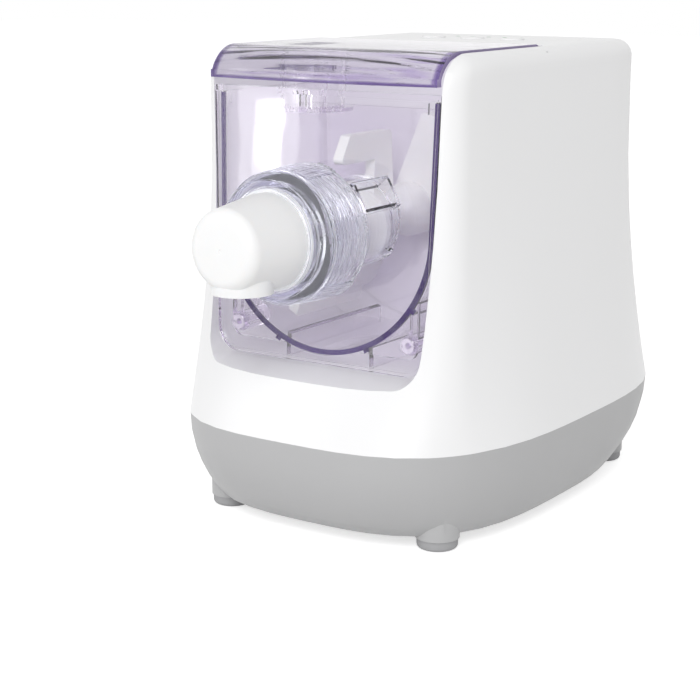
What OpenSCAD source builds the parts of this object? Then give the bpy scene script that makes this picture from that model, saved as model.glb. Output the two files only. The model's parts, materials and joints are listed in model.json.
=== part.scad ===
// Electric pasta maker: motor base, transparent mixing bowl, auger barrel and noodle die
// Millimetres, +Z up, front faces -Y, origin on the table at the middle of the overall footprint

/* [Body] */
// Height of the top face above the table
top_z = 291; // [280:1:350]
// Width of the body at the seam
belt_w = 241; // [200:1:290]
// Length of the body at the seam
belt_l = 325; // [270:1:390]
// Height of the seam between white housing and grey base
seam_z = 63.5; // [55:0.5:76]
// Wall thickness of the housing and the base
wall = 2.8; // [2.2:0.1:3.4]
// Width of each cheek beside the bowl, at the top
cheek_w = 9.5; // [9:0.1:14]
// Radius of the rounding along the sides and rear of the top face
shoulder_r = 11; // [8:0.5:12]
// Radius of the rounding at the front of the cheeks
front_r = 22; // [16:0.5:24]
// Radius of the upright corners at the top
corner_r = 17.3; // [14:0.1:24]

/* [Bowl and panel] */
// Height of the auger axis above the table
axis_z = 186.5; // [180:0.5:198]
// Inner radius of the mixing bowl
bowl_r = 73.5; // [62:0.5:90]
// Wall of the mixing bowl
bowl_t = 3; // [2:0.1:4]
// Forward lean of the front panel in degrees
lean = 2.26; // [0:0.01:3]
// Distance from the bulkhead to the front panel
chamber_l = 117.8; // [112:0.1:140]
// Length of the motor room behind the bulkhead, at the top
motor_room = 120.6; // [116:0.1:146]

/* [Extruder] */
// Outer radius of the extrusion barrel
barrel_r = 27; // [22:0.5:30]
// Wall of the extrusion barrel
barrel_t = 2.5; // [2:0.1:3.2]
// Radial gap between the auger and the barrel
auger_gap = 0.5; // [0.35:0.05:1]
// Pitch of the auger
auger_pitch = 28; // [20:1:36]
// Length of the locking nut
nut_l = 41.5; // [36:0.5:50]
// Outer wall of the locking nut around its thread
nut_wall = 3.94; // [3:0.01:5]
// how much wider the grip skirt of the nut gets to the rear
nut_flare = 5.5; // [4.5:0.1:7]
// Radius of the nose of the die cap
nose_r = 23.7; // [20:0.1:25]
// Diameter of a noodle hole
hole_d = 2.6; // [1.6:0.1:3.4]

/* [Drive] */
// Radius of the drive shaft
shaft_r = 6; // [5:0.1:6.8]
// Module of the motor stage
mod_a = 1; // [0.9:0.01:1.05]
// Module of the output stage
mod_b = 1.5; // [1.25:0.01:1.55]
// Teeth of both pinions
pinion_n = 12; // [12:1:13]
// Teeth of the intermediate wheel
wheel_n = 72; // [60:1:76]
// Teeth of the output wheel
output_n = 60; // [50:1:64]
// Outer radius of the motor
motor_r = 44; // [38:0.5:46]

/* [Lid and controls] */
// Radius of the rounded front of the lid
lid_r = 24; // [20:0.5:26]
// Forward bow of the lid's front edge
lid_bow = 7; // [3:0.5:9]
// Thickness of the lid
lid_t = 3; // [2.4:0.1:3.4]
// Radius of a push button
button_r = 8; // [6:0.1:9]
// Travel of a push button
button_travel = 1.2; // [0.8:0.1:1.5]

/* [Output] */
// Node to draw

/* [Hidden] */
$fn = 48;
e = 0.01;
bulk_y = -0.5;
bulk_t = 3.5;
back_y = bulk_y + bulk_t;
panel_y = bulk_y - chamber_l;
panel_t = 3;
gasket_t = 1;
top_front = panel_y - 2.9;
top_rear = bulk_y + motor_room;
bowl_ro = bowl_r + bowl_t;
panel_b = axis_z - bowl_ro - 5.5;
panel_top = top_z - 23;
bowl_top = top_z - 27;
panel_hb = bowl_ro - 0.2;
panel_slope = 0.026;
panel_gap = 0.6;
panel_rc = 16;
clip_x = bowl_ro - 14.5;
clip_z = axis_z - bowl_ro + 13;
notch_hw = panel_hb + panel_gap + panel_slope * (top_z - panel_b);
top_a = notch_hw + cheek_w;
belt_a = belt_w / 2;
belt_mid = (top_front + top_rear) / 2 + 1.7;
belt_front = belt_mid - belt_l / 2;
belt_rear = belt_mid + belt_l / 2;
flare_k = 2.26;
round_k = 1.65;
crease_z = top_z - front_r;
zt = top_z - 6.8;
base_bot = 7.3;
base_a = belt_a - 15.8;
base_front = belt_front + 21.4;
base_rear = belt_rear - 42.4;
foot_x = belt_w * 0.32;
foot_y = belt_l * 0.345;
foot_r = 12.5;
foot_h = 6.5;
post_x = belt_w * 0.332;
post_y = belt_l * 0.27;

// ---- plan sections of the skin ----
c_b = (top_rear - top_front) / 2;
q1 = atan((c_b - corner_r) / top_a);
q2 = atan(c_b / (top_a - corner_r));
qq = [for (i = [0 : 5]) q1 * i / 6,
      for (i = [0 : 5]) q1 + (q2 - q1) * i / 6,
      for (i = [0 : 4]) q2 + (90 - q2) * i / 5];
nq = len(qq);
qs = [for (q = qq) q,
      for (i = [0 : nq - 1]) i == 0 ? 90 : 180 - qq[nq - i],
      for (q = qq) 180 + q,
      for (i = [0 : nq - 1]) i == 0 ? 270 : 360 - qq[nq - i]];
nr = len(qs);

function lerp(a, b, t) = a + (b - a) * t;
function edge(a, c) = c > 1e-6 ? a / c : 1e6;
function arc_hit(cx, cy, c, s, R) =
  let (k = cx * c + cy * s) k + sqrt(max(0, k * k - (cx * cx + cy * cy - R * R)));
function r_rect(a, b, R, q) =
  let (c = abs(cos(q)), s = abs(sin(q)), r0 = min(edge(a, c), edge(b, s)))
  (r0 * c > a - R && r0 * s > b - R) ? arc_hit(a - R, b - R, c, s, R) : r0;
function r_super(a, b, n, q) =
  pow(pow(abs(cos(q)) / a, n) + pow(abs(sin(q)) / b, n), -1 / n);
function ring(a, y0, y1, R, n, w, z) =
  let (b = (y1 - y0) / 2)
  [for (q = qs)
    let (r = lerp(r_rect(a, b, R, q), r_super(a, b, n, q), w))
    [r * cos(q), (y0 + y1) / 2 + r * sin(q), z]];

// how far a skin d inside the outer one is pulled in at height z by a top rounding R
function inset(z, R, d) =
  z <= top_z - R ? d : R - sqrt(max(0, (R - d) * (R - d) - pow(z - top_z + R, 2)));
// upper housing at height z, d inside the outer skin
function upper_ring(z, d) =
  let (t = max(0, (zt - z) / (zt - seam_z)), g = pow(t, flare_k), i = inset(z, shoulder_r, d))
  ring(lerp(top_a, belt_a, g) - i, lerp(top_front, belt_front, g) + inset(z, front_r, d),
    lerp(top_rear, belt_rear, g) - i, max(3, corner_r - i), 3.19, pow(t, round_k), z);
// base at height z, pulled in by d
function base_ring(z, d) =
  let (t = (seam_z - z) / (seam_z - base_bot), g = pow(max(0, t), 2.15))
  ring(lerp(belt_a, base_a, g) - d, lerp(belt_front, base_front, g) + d,
    lerp(belt_rear, base_rear, g) - d, 60, 3.19 - 0.1 * g, 1, z);

function band_faces(n, m) =
  [for (i = [0 : m - 2]) for (j = [0 : n - 1])
    for (k = [0 : 1])
    let (a = i * n + j, b = i * n + (j + 1) % n)
    k == 0 ? [a, a + n, b + n] : [a, b + n, b]];
function middle(r) = let (n = len(r)) [(r[0][0] + r[n / 2][0]) / 2, (r[n / 4][1] + r[3 * n / 4][1]) / 2, r[0][2]];
module loft(rings) {
  n = len(rings[0]);
  m = len(rings);
  polyhedron(
    points = concat([for (r = rings) for (p = r) p], [middle(rings[0]), middle(rings[m - 1])]),
    faces = concat(band_faces(n, m),
      [for (j = [0 : n - 1]) [n * m, j, (j + 1) % n]],
      [for (j = [0 : n - 1]) [n * m + 1, n * (m - 1) + (j + 1) % n, n * (m - 1) + j]]));
}
module upper_outer()
  loft(concat(
    [for (t = [0, 0.04, 0.1, 0.17, 0.25, 0.34, 0.45, 0.58, 0.74, 1])
      upper_ring(lerp(seam_z, crease_z, t), 0)],
    [for (i = [1 : 8]) upper_ring(crease_z + front_r * sin(i * 11.25), 0)]));
module upper_inner()
  loft(concat(
    [upper_ring(seam_z - 2.5, wall)],
    [for (t = [0.07, 0.16, 0.29, 0.46, 0.7, 1])
      upper_ring(lerp(seam_z, crease_z, t), wall)],
    [for (i = [1 : 4]) upper_ring(crease_z + (front_r - wall) * sin(i * 22.5), wall)]));
module base_outer()
  loft(concat(
    [base_ring(base_bot, 5)],
    [for (i = [1 : 2]) base_ring(base_bot + 5 * (1 - cos(i * 30)), 5 * (1 - sin(i * 30)))],
    [for (t = [0.16, 0.28, 0.42, 0.58, 0.78, 1]) base_ring(lerp(base_bot, seam_z, t), 0)]));
module base_inner()
  loft([for (t = [0, 0.12, 0.3, 0.55, 1.02])
    base_ring(lerp(base_bot + 3, seam_z, t), t == 0 ? wall + 3 : wall)]);

// ---- helpers ----
// from the layout frame, centred on the feet, to the part frame
module at()
  translate([0, -(nose_y + belt_rear) / 2, 0]) children();
// cylinder along Y
module ycyl(r, y0, y1, x = 0, z = axis_z, f = 48)
  translate([x, y0, z]) rotate([-90, 0, 0]) cylinder(r = r, h = y1 - y0, $fn = f);
module ytube(ro, ri, y0, y1, x = 0, z = axis_z)
  difference() {
    ycyl(ro, y0, y1, x, z);
    ycyl(ri, y0 - 1, y1 + 1, x, z);
  }
// (r, y) profile turned about the line along Y
module yturn(x = 0, z = axis_z)
  translate([x, 0, z]) rotate([-90, 0, 0]) rotate_extrude() children();
// (x, z) shape drawn out along Y
module prism_y(y0, y1)
  translate([0, y1, 0]) rotate([90, 0, 0]) linear_extrude(height = y1 - y0) children();
// (y, z) shape drawn out along X
module prism_x(x0, x1)
  translate([x0, 0, 0]) rotate([90, 0, 90]) linear_extrude(height = x1 - x0) children();
module box(a, b)
  translate(a) cube([b[0] - a[0], b[1] - a[1], b[2] - a[2]]);
module rrect(x0, x1, z0, z1, r) {
  translate([x0 + r, z0]) square([x1 - x0 - 2 * r, z1 - z0]);
  translate([x0, z0 + r]) square([x1 - x0, z1 - z0 - 2 * r]);
  for (x = [x0 + r, x1 - r], z = [z0 + r, z1 - r]) translate([x, z]) circle(r);
}
module two_x() {
  children();
  mirror([1, 0, 0]) children();
}
// frame of the leaning panel: y = 0 is its rear face
module leaning()
  translate([0, panel_y, axis_z]) rotate([-lean, 0, 0]) translate([0, 0, -axis_z]) children();
function panel_hw(z) = panel_hb + panel_slope * (z - panel_b);
// panel outline grown by g, up to height zt_
module panel2d(g, zt_) {
  rc = panel_rc + g;
  hb = panel_hb + g;
  zb = panel_b - g;
  ht = panel_hw(zt_) + g;
  polygon([[-hb, zb + rc], [-hb + rc, zb], [hb - rc, zb], [hb, zb + rc], [ht, zt_], [-ht, zt_]]);
  for (x = [-hb + rc, hb - rc]) translate([x, zb + rc]) circle(rc);
}
// bowl outline of radius r, open at height zt_
module bowl2d(r, zt_) {
  d = (zt_ - axis_z) * tan(1.1);
  polygon([[-r, axis_z], [r, axis_z], [r + d, zt_], [-r - d, zt_]]);
  translate([0, axis_z]) circle(r);
}
function inv(a) = tan(a) * 180 / PI - a;
function flank(m, n, r, bl) =
  let (rb = m * n / 2 * cos(25), a = acos(min(1, rb / max(r, rb))))
  90 / n - bl / (m * n / 2) * 180 / PI + inv(25) - inv(a);
// involute wheel, tooth centred on angle 0
module gear2d(m, n, bl = 0.07) {
  rp = m * n / 2;
  r0 = rp - 1.15 * m;
  rr = [r0, max(r0 + 0.02, rp * cos(25)), rp - 0.25 * m, rp + 0.35 * m, rp + 0.9 * m];
  polygon([for (i = [0 : n - 1]) for (k = [0 : 9])
    let (s = k < 5 ? -1 : 1, j = k < 5 ? k : 9 - k, q = 360 / n * i + s * flank(m, n, rr[j], bl))
    [rr[j] * cos(q), rr[j] * sin(q)]]);
}

// ---- drive layout ----
da = mod_a * (pinion_n + wheel_n) / 2;
db = mod_b * (pinion_n + output_n) / 2;
mid_z = axis_z - db;
mot_z = mid_z - da;
plate_t = 5;
gy0 = back_y + plate_t;
out_y = gy0 + 2;
out_w = 11;
whl_y = out_y + out_w + 2.5;
whl_w = 9;
rear_y = whl_y + whl_w + 3;
rear_t = 4;
mot_y = rear_y + rear_t;
stat_y = mot_y + 12;
stat_l = 40;
end_y = stat_y + stat_l;
end_l = 12;
out_ra = mod_b * (output_n / 2 + 0.9);
whl_ra = mod_a * (wheel_n / 2 + 0.9);
ears = [[-50, axis_z + 26], [50, axis_z + 26], [-46, mid_z - 2], [46, mid_z - 2]];

// ---- extruder layout ----
bore_r = barrel_r - barrel_t;
collar_ri = barrel_r + 0.2;
collar_root = barrel_r + 3.2;
collar_r = barrel_r + 4;
nut_ri = collar_r + 0.06;
nut_r = nut_ri + nut_wall;
nut_y1 = panel_y - 15.7;
nut_y0 = nut_y1 - nut_l;
lip_t = 3;
flange_y = nut_y0 + lip_t;
cap_fr = collar_r - 1.5;
barrel_y0 = flange_y + 3;
barrel_y1 = panel_y + 41.3;
collar_y = nut_y0 + 23.5;
nose_y = nut_y0 - 43.2;
spout_y = nut_y0 - 24;
spout_z = axis_z - 26;
spout_r = 18;
die_r = 15.5;

// ---- lid layout ----
lid_top = top_z + 1;
knuckle_r = 6;
pin_r = 2;
pin_y = bulk_y - 7.5;
pin_z = lid_top - knuckle_r;
lid_hw = notch_hw - 1.5;
lid_front = panel_y - 12.7;
lip_z = top_z - 18;
bow_r = (lid_hw * lid_hw + lid_bow * lid_bow) / (2 * lid_bow);
bow_y = lid_front + bow_r;
cup_x = -37;
cup_y = bulk_y - 75.5;
cup_r = 19.8;
cup_z = top_z - 39;

// ---- control layout ----
ctl_y0 = back_y + 29;
ctl_y1 = ctl_y0 + 56;
ctl_y = (ctl_y0 + ctl_y1) / 2;
ctl_hw = 55;
ctl_t = 2;
ctl_bot = top_z - ctl_t;
board_z = top_z - 17;
plug_x = 40;
plug_z = top_z - 15;

// ================= housing =================
// floor of the recess in front of the panel, sloping down to the front
module ramp2d(d) {
  w = panel_hb + 0.2 + d;
  r = panel_rc - 2 + d;
  z0 = panel_b - panel_gap + 0.3 - d;
  polygon([[-w, z0 + r], [r - w, z0], [w - r, z0], [w, z0 + r], [w, z0 + r + 20], [-w, z0 + r + 20]]);
  for (x = [r - w, w - r]) translate([x, z0 + r]) circle(r);
}
module ramp_cut(d)
  translate([0, panel_y - 3.5, panel_b - panel_gap]) rotate([12, 0, 0])
    translate([0, 0, panel_gap - panel_b]) prism_y(-62, 0) ramp2d(d);
module keep_solid() {
  prism_y(belt_front - 20, back_y) panel2d(panel_gap + wall, top_z + 5);
  ramp_cut(wall);
  two_x() translate([notch_hw - 3, pin_y, pin_z]) rotate([0, 90, 0]) cylinder(r = 6.5, h = 30);
  for (x = [-post_x, post_x], y = [-post_y, post_y]) {
    translate([x, y, seam_z - 2]) cylinder(r = 6, h = 30);
    box([min(x, x * 1.6), y - 1.5, seam_z - 2], [max(x, x * 1.6), y + 1.5, seam_z + 24]);
  }
  for (x = [-46, 46], y = [ctl_y0 + 4, ctl_y1 - 4])
    translate([x, y, board_z + 1.6]) cylinder(r = 3.5, h = 20);
  box([-27, top_rear + 16, seam_z + 1.5], [27, belt_rear + 5, seam_z + 41]);
  for (p = ears) ycyl(5, back_y - 1, back_y + 3, p[0], p[1]);
}
module upper_housing()
  color([0.96, 0.96, 0.97]) at() difference() {
    upper_outer();
    difference() {
      upper_inner();
      keep_solid();
    }
    // recess for bowl, panel and lid
    prism_y(belt_front - 30, bulk_y) panel2d(panel_gap, top_z + 10);
    ramp_cut(0);
    // drive shaft, gearbox seat and interlock plunger
    ycyl(10, bulk_y - 1, back_y + 1);
    for (p = ears) ycyl(1.9, bulk_y + 1, back_y + 40, p[0], p[1]);
    ycyl(2.56, bulk_y - 1, back_y + 1, plug_x, plug_z);
    // hinge pins
    two_x() translate([notch_hw - 8, pin_y, pin_z]) rotate([0, 90, 0]) cylinder(r = pin_r + 0.02, h = 14.5);
    // control plate seat and window
    box([-ctl_hw - 0.2, ctl_y0 - 0.2, ctl_bot], [ctl_hw + 0.2, ctl_y1 + 0.2, top_z + 5]);
    box([-ctl_hw + 14, ctl_y0 + 5, ctl_bot - 6], [ctl_hw - 14, ctl_y1 - 5, ctl_bot + 1]);
    for (x = [-46, 46], y = [ctl_y0 + 4, ctl_y1 - 4])
      translate([x, y, board_z - 1]) cylinder(r = 1.2, h = 10);
    // inlet pocket and its window
    box([-24, top_rear + 19, seam_z + 4.5], [24, belt_rear + 9, seam_z + 38]);
    box([-14, top_rear + 10, seam_z + 11], [14, top_rear + 20, seam_z + 32]);
    two_x() ycyl(1.6, top_rear + 10, top_rear + 20, 20, seam_z + 21.5);
    // pilot holes for the base screws
    for (x = [-post_x, post_x], y = [-post_y, post_y])
      translate([x, y, seam_z - 3]) cylinder(r = 1.9, h = 22);
    // rear louvres
    for (i = [0 : 6])
      box([-36, top_rear - 10, seam_z + 56 + i * 9], [36, top_rear + 45, seam_z + 60 + i * 9]);
  }
module base_tray()
  color([0.66, 0.67, 0.69]) at() difference() {
    union() {
      difference() {
        base_outer();
        difference() {
          base_inner();
          for (x = [-post_x, post_x], y = [-post_y, post_y]) {
            translate([x, y, base_bot]) cylinder(r = 6, h = 80);
            box([min(x, x * 1.6), y - 1.5, base_bot], [max(x, x * 1.6), y + 1.5, seam_z - 8]);
          }
          for (x = [-58, 58], y = [-108, -34])
            translate([x, y, base_bot]) cylinder(r = 4, h = board_low - base_bot);
        }
      }
      for (x = [-foot_x, foot_x], y = [-foot_y, foot_y])
        translate([x, y, foot_h]) cylinder(r = foot_r + 1, h = 12);
    }
    for (x = [-foot_x, foot_x], y = [-foot_y, foot_y])
      translate([x, y, 0]) cylinder(r = 4, h = 14);
    for (x = [-post_x, post_x], y = [-post_y, post_y]) {
      translate([x, y, base_bot - 1]) cylinder(r = 2.2, h = 80);
      translate([x, y, base_bot - 1]) cylinder(r = 4.6, h = 9);
    }
    for (x = [-58, 58], y = [-108, -34])
      translate([x, y, board_low - 8]) cylinder(r = 1.3, h = 10);
    // air slots under the motor
    for (i = [0 : 8])
      box([-46 + i * 10.5, 40, base_bot - 2], [-42 + i * 10.5, 92, base_bot + 8]);
  }
board_low = base_bot + 12;
module rubber_feet()
  color([0.55, 0.56, 0.58]) at()
  for (x = [-foot_x, foot_x], y = [-foot_y, foot_y])
    translate([x, y, 0]) {
      rotate_extrude() union() {
        translate([0, 2.5]) square([foot_r, foot_h - 2.5]);
        square([foot_r - 2.5, 3]);
        translate([foot_r - 2.5, 2.5]) circle(2.5);
      }
      translate([0, 0, foot_h - 1]) cylinder(r = 3.9, h = 8);
    }
module base_screws()
  color([0.75, 0.76, 0.78]) at()
  for (x = [-post_x, post_x], y = [-post_y, post_y])
    translate([x, y, 0]) difference() {
      union() {
        translate([0, 0, base_bot + 5]) cylinder(r = 4.2, h = 3);
        translate([0, 0, base_bot + 7]) cylinder(r = 1.9, h = seam_z - base_bot + 10);
      }
      for (a = [0, 90]) rotate([0, 0, a]) translate([-2.5, -0.5, base_bot + 4]) cube([5, 1, 2.4]);
    }

// ================= bowl and panel =================
module mixing_bowl()
  color([0.62, 0.52, 0.82, 0.45]) at() difference() {
    union() {
      prism_y(panel_y - 8, bulk_y - 3.5) bowl2d(bowl_ro, bowl_top);
      leaning() prism_y(gasket_t, gasket_t + 2.5) {
        panel2d(-9.5, bowl_top);
        bowl2d(bowl_ro + 0.8, bowl_top);
      }
      // keel ribs that stand on the recess floor
      for (x = [-32, 29])
        box([x, panel_y + 6, panel_b - panel_gap], [x + 3, bulk_y - 10, axis_z - 60]);
      // bosses for the panel clips, each with two ribs up to the trough
      two_x() ycyl(6.2, panel_y - 8, panel_y + 20, clip_x, clip_z);
      two_x() box([clip_x - 1, panel_y - 8, clip_z + 4], [clip_x + 1, panel_y + 18, clip_z + 19]);
      two_x() box([clip_x + 4, panel_y - 8, clip_z + 3], [clip_x + 6, panel_y + 18, clip_z + 26]);
    }
    prism_y(panel_y - 20, bulk_y - 6.5) bowl2d(bowl_r, bowl_top + 1);
    ycyl(12, bulk_y - 10, bulk_y);
    // the rear wall stays below the water cup, so that the bowl can be drawn out
    box([-bowl_r + 0.5, bulk_y - 10, cup_z - 3], [bowl_r - 0.5, bulk_y, top_z]);
    two_x() ycyl(2, panel_y - 10, panel_y + 16, clip_x, clip_z);
    leaning() box([-200, -60, -50], [200, gasket_t, 400]);
  }
module bowl_gasket()
  color([0.3, 0.18, 0.5]) at() leaning() prism_y(0, gasket_t) {
    difference() {
      bowl2d(bowl_ro, bowl_top - 0.5);
      bowl2d(bowl_r, bowl_top + 2);
    }
    // pull tabs
    for (a = [-56, -24.6, 24.6, 56]) translate([0, axis_z]) rotate(a)
      translate([-1.6, -bowl_ro - 2]) square([3.2, 3]);
  }
module shaft_seal()
  color([0.25, 0.25, 0.28]) at() union() {
    ytube(12, shaft_r + 0.05, bulk_y - 7.5, bulk_y - 3);
    ytube(14.5, 11, bulk_y - 3.5, bulk_y - 2);
  }
module front_panel()
  color([0.86, 0.9, 0.94, 0.35]) at() difference() {
    union() {
      leaning() prism_y(-panel_t, 0) panel2d(0, panel_top);
      // raised rim around the plate
      leaning() prism_y(-panel_t - 0.8, -panel_t + 0.5) difference() {
        panel2d(0, panel_top);
        panel2d(-2.2, panel_top - 2.2);
      }
      // hook over the bowl rim and stiffening band
      leaning() box([-panel_hw(panel_top) + 1, -0.5, bowl_top + 0.6], [panel_hw(panel_top) - 1, 7, panel_top]);
      leaning() box([-bowl_r + 3, -0.5, bowl_top - 7], [bowl_r - 3, 1.2, bowl_top - 0.5]);
      // collar with its thread
      ycyl(collar_root, collar_y, panel_y + 1);
      for (i = [0 : 6]) ycyl(collar_r, collar_y + 1.5 + i * 3.2, collar_y + 3 + i * 3.2);
      ycyl(collar_r + 2.5, panel_y - 6.2, panel_y);
    }
    ycyl(collar_ri, collar_y - 5, panel_y + 30);
    two_x() ycyl(2, panel_y - 30, panel_y + 16, clip_x, clip_z);
    two_x() ycyl(4.6, panel_y - 30, clip_y, clip_x, clip_z);
  }
// seat of a clip head in the leaning panel
clip_y = panel_y - 1.4 - (axis_z - clip_z) * tan(lean);
module panel_screws()
  color([0.5, 0.38, 0.72]) at()
  two_x() difference() {
    union() {
      ycyl(1.95, clip_y - 1, panel_y + 14, clip_x, clip_z);
      ycyl(4.5, clip_y - 1.8, clip_y, clip_x, clip_z);
    }
    box([clip_x - 3.4, clip_y - 2, clip_z - 0.6], [clip_x + 3.4, clip_y - 0.9, clip_z + 0.6]);
  }
module extrusion_barrel()
  color([0.72, 0.8, 0.9, 0.5]) at() difference() {
    union() {
      ycyl(barrel_r, barrel_y0, barrel_y1);
      ycyl(cap_fr, collar_y - 3.4, collar_y - 0.6);
      for (y = [barrel_y1 - 2, barrel_y1 - 6]) ycyl(barrel_r + 0.9, y - 1, y + 1);
      // chute around the feed window, its upper wall stands higher
      translate([0, 0, axis_z]) rotate([0, -41, 0]) prism_y(panel_y + 2.8, barrel_y1)
        polygon([[8, -10], [barrel_r + 1.6, -10], [barrel_r + 5.6, 7.4], [barrel_r + 5.6, 9.2], [8, 9.2]]);
      // lugs at the rear end
      for (a = [12, -40]) translate([0, 0, axis_z]) rotate([0, -a, 0])
        box([barrel_r - 1, barrel_y1 - 8.3, -3], [barrel_r + 2.4, barrel_y1 - 1.7, 3]);
    }
    ycyl(bore_r, barrel_y0 - 1, barrel_y1 + 1);
    // feed window, to the upper right
    translate([0, 0, axis_z]) rotate([0, -41, 0])
      box([5, panel_y + 5, -8.2], [60, barrel_y1 - 2.4, 7.4]);
  }
module barrel_seal()
  color([0.85, 0.86, 0.88]) at()
  ytube(cap_fr - 0.5, barrel_r + 0.05, collar_y - 0.6, collar_y);

// ================= rotating extruder parts =================
auger_y0 = barrel_y0 + 2;
auger_y1 = barrel_y1 - 1;
sector = [for (i = [0 : 4]) i * 12.5];
module auger()
  color([0.93, 0.94, 0.95]) at() difference() {
    union() {
      ycyl(8, auger_y0 - 3, bulk_y - 12);
      translate([0, auger_y0, axis_z]) rotate([-90, 0, 0])
        linear_extrude(height = auger_y1 - auger_y0, slices = 66,
          twist = -360 * (auger_y1 - auger_y0) / auger_pitch)
        polygon(concat([for (a = sector) (bore_r - auger_gap) * [cos(a), sin(a)]],
          [for (i = [4 : -1 : 0]) 7.5 * [cos(sector[i]), sin(sector[i])]]));
    }
    // hexagon socket for the drive shaft
    ycyl(shaft_r + 0.06, bulk_y - 38, bulk_y, f = 6);
  }
module mixing_paddle()
  color([0.95, 0.95, 0.95]) at() difference() {
    union() {
      yturn() polygon([[0, barrel_y1 + 4], [13, barrel_y1 + 4], [13, bulk_y - 40],
        [17, bulk_y - 26], [17, bulk_y - 11], [14, bulk_y - 9], [0, bulk_y - 9]]);
      // front arm with a blade that runs forward over the barrel
      prism_x(-15, -8) {
        hull() for (p = [[-52, axis_z + 8], [-28, axis_z + 8], [-49, axis_z + 48], [-31, axis_z + 48]])
          translate(p + [p[0] < -40 ? 3 : -3, 0]) circle(3, $fn = 32);
        hull() for (p = [[-83, axis_z + 36.5], [-76, axis_z + 48], [-40, axis_z + 37], [-34, axis_z + 48]])
          translate(p) circle(3, $fn = 32);
      }
      // rear arm, a wide blade turned to the right
      translate([0, 0, axis_z]) rotate([0, 19.8, 0]) prism_y(bulk_y - 21, bulk_y - 13)
        hull() for (p = [[-11.5, 4], [11.5, 4], [-9, 58], [9, 58]])
          translate(p) circle(4, $fn = 32);
      // lower arm with a longer blade below the barrel
      translate([0, 0, axis_z]) rotate([0, 210, 0]) prism_x(-3.5, 3.5) {
        hull() for (p = [[-49, 8], [-31, 8], [-49, 52], [-31, 52]])
          translate(p) circle(3, $fn = 32);
        hull() for (p = [[-111, 40], [-102, 64], [-46, 38], [-38, 64]])
          translate(p) circle(3, $fn = 32);
      }
    }
    ycyl(8.05, barrel_y1, bulk_y - 12);
    ycyl(shaft_r + 0.1, bulk_y - 20, bulk_y);
  }
module drive_shaft()
  color([0.7, 0.71, 0.73]) at() union() {
    ycyl(shaft_r, bulk_y - 36, bulk_y - 11.8, f = 6);
    ycyl(shaft_r, bulk_y - 12, rear_y + 3);
    ycyl(shaft_r + 2, gy0 + 0.2, out_y - 0.1);
  }

// ================= nut and die =================
skirt_y = nut_y0 + 11.5;
sleeve_t = 2.6;
ring_n = 6;
ring_p = (nut_y1 - 2.6 - skirt_y) / (ring_n + 0.6);
function skirt_r(t) = nut_r + nut_flare * (0.62 + 0.38 * t);
module pad(a, h)
  intersection() {
    yturn(0, 0) polygon([[nut_r, skirt_y + 2.6], [skirt_r(0.1) + 0.9 + h, skirt_y + 2.6],
      [skirt_r(1) + 0.9 + h, nut_y1 - 0.6], [nut_r, nut_y1 - 0.6]]);
    prism_y(nut_y0 - 5, nut_y1 + 5)
      polygon([[0, 0], [60 * cos(a), -60 * sin(a)], [60 * cos(a), 60 * sin(a)]]);
  }
module locking_nut()
  color([0.8, 0.86, 0.94, 0.45]) at() difference() {
    union() {
      // front ring, cone and the skirt that flares to the rear
      yturn() polygon([[nut_ri - 8, nut_y0], [nut_r - 0.6, nut_y0], [nut_r, nut_y0 + 0.6], [nut_r, nut_y0 + 2.4],
        [nut_r - 0.5, nut_y0 + 2.9], [skirt_r(0) - 1, skirt_y - 4], [skirt_r(0), skirt_y - 2.5],
        [skirt_r(1), nut_y1], [nut_ri - 8, nut_y1]]);
      // raised ring in front of the skirt, its fine rings and the rear rim
      ycyl(skirt_r(0) + 0.9, skirt_y - 1.2, skirt_y + 1.2);
      for (i = [1 : ring_n])
        ycyl(skirt_r(i / (ring_n + 1)) + 0.5, skirt_y + i * ring_p - 0.9, skirt_y + i * ring_p + 0.9);
      ycyl(skirt_r(1) + 0.3, nut_y1 - 2, nut_y1);
      // six raised grip pads with straight ribs
      for (k = [0 : 5]) translate([0, 0, axis_z]) rotate([0, -11 - k * 60, 0]) {
        pad(9, 0);
        for (a = [-7.5 : 3 : 7.5]) rotate([0, a, 0]) pad(0.7, 0.6);
      }
    }
    ycyl(nut_ri, flange_y, nut_y1 + 1);
    // hollow between the grip skirt and the threaded sleeve
    yturn() polygon([[nut_ri + sleeve_t, skirt_y + 4], [skirt_r(0.1) - 2.8, skirt_y + 4],
      [skirt_r(1) - 2.8, nut_y1 + 1], [nut_ri + sleeve_t, nut_y1 + 1]]);
    ycyl(cap_fr - 1.4, nut_y0 - 1, flange_y + 1);
    ycyl(cap_fr + 0.6, nut_y0 - 1, nut_y0 + 0.8);
  }
module die_cap()
  color([0.97, 0.97, 0.97]) at() difference() {
    union() {
      yturn() union() {
        polygon([[0, nose_y], [nose_r - 7, nose_y], [nose_r - 7, nose_y + 7], [nose_r, nose_y + 7],
          [cap_fr - 1.9, nut_y0 - 4], [cap_fr - 1.9, flange_y + 0.1], [cap_fr, flange_y + 0.1],
          [cap_fr, barrel_y0 - 0.1], [0, barrel_y0 - 0.1]]);
        translate([nose_r - 7, nose_y + 7]) circle(7);
      }
      translate([0, spout_y, spout_z]) cylinder(r = spout_r, h = 18);
    }
    yturn() polygon([[0, nose_y + 4.5], [nose_r - 9, nose_y + 4.5], [nose_r - 4, nose_y + 10],
      [bore_r - 0.5, barrel_y0 + 1], [0, barrel_y0 + 1]]);
    translate([0, spout_y, spout_z - 1]) cylinder(r = die_r - 2.2, h = 26);
    translate([0, spout_y, spout_z + 0.4]) cylinder(r = die_r + 0.05, h = 4.2);
    translate([0, spout_y, spout_z + 4]) cylinder(r = die_r - 1, h = 14);
    ycyl(1.2, nose_y - 1, nose_y + 0.5);
  }
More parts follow.
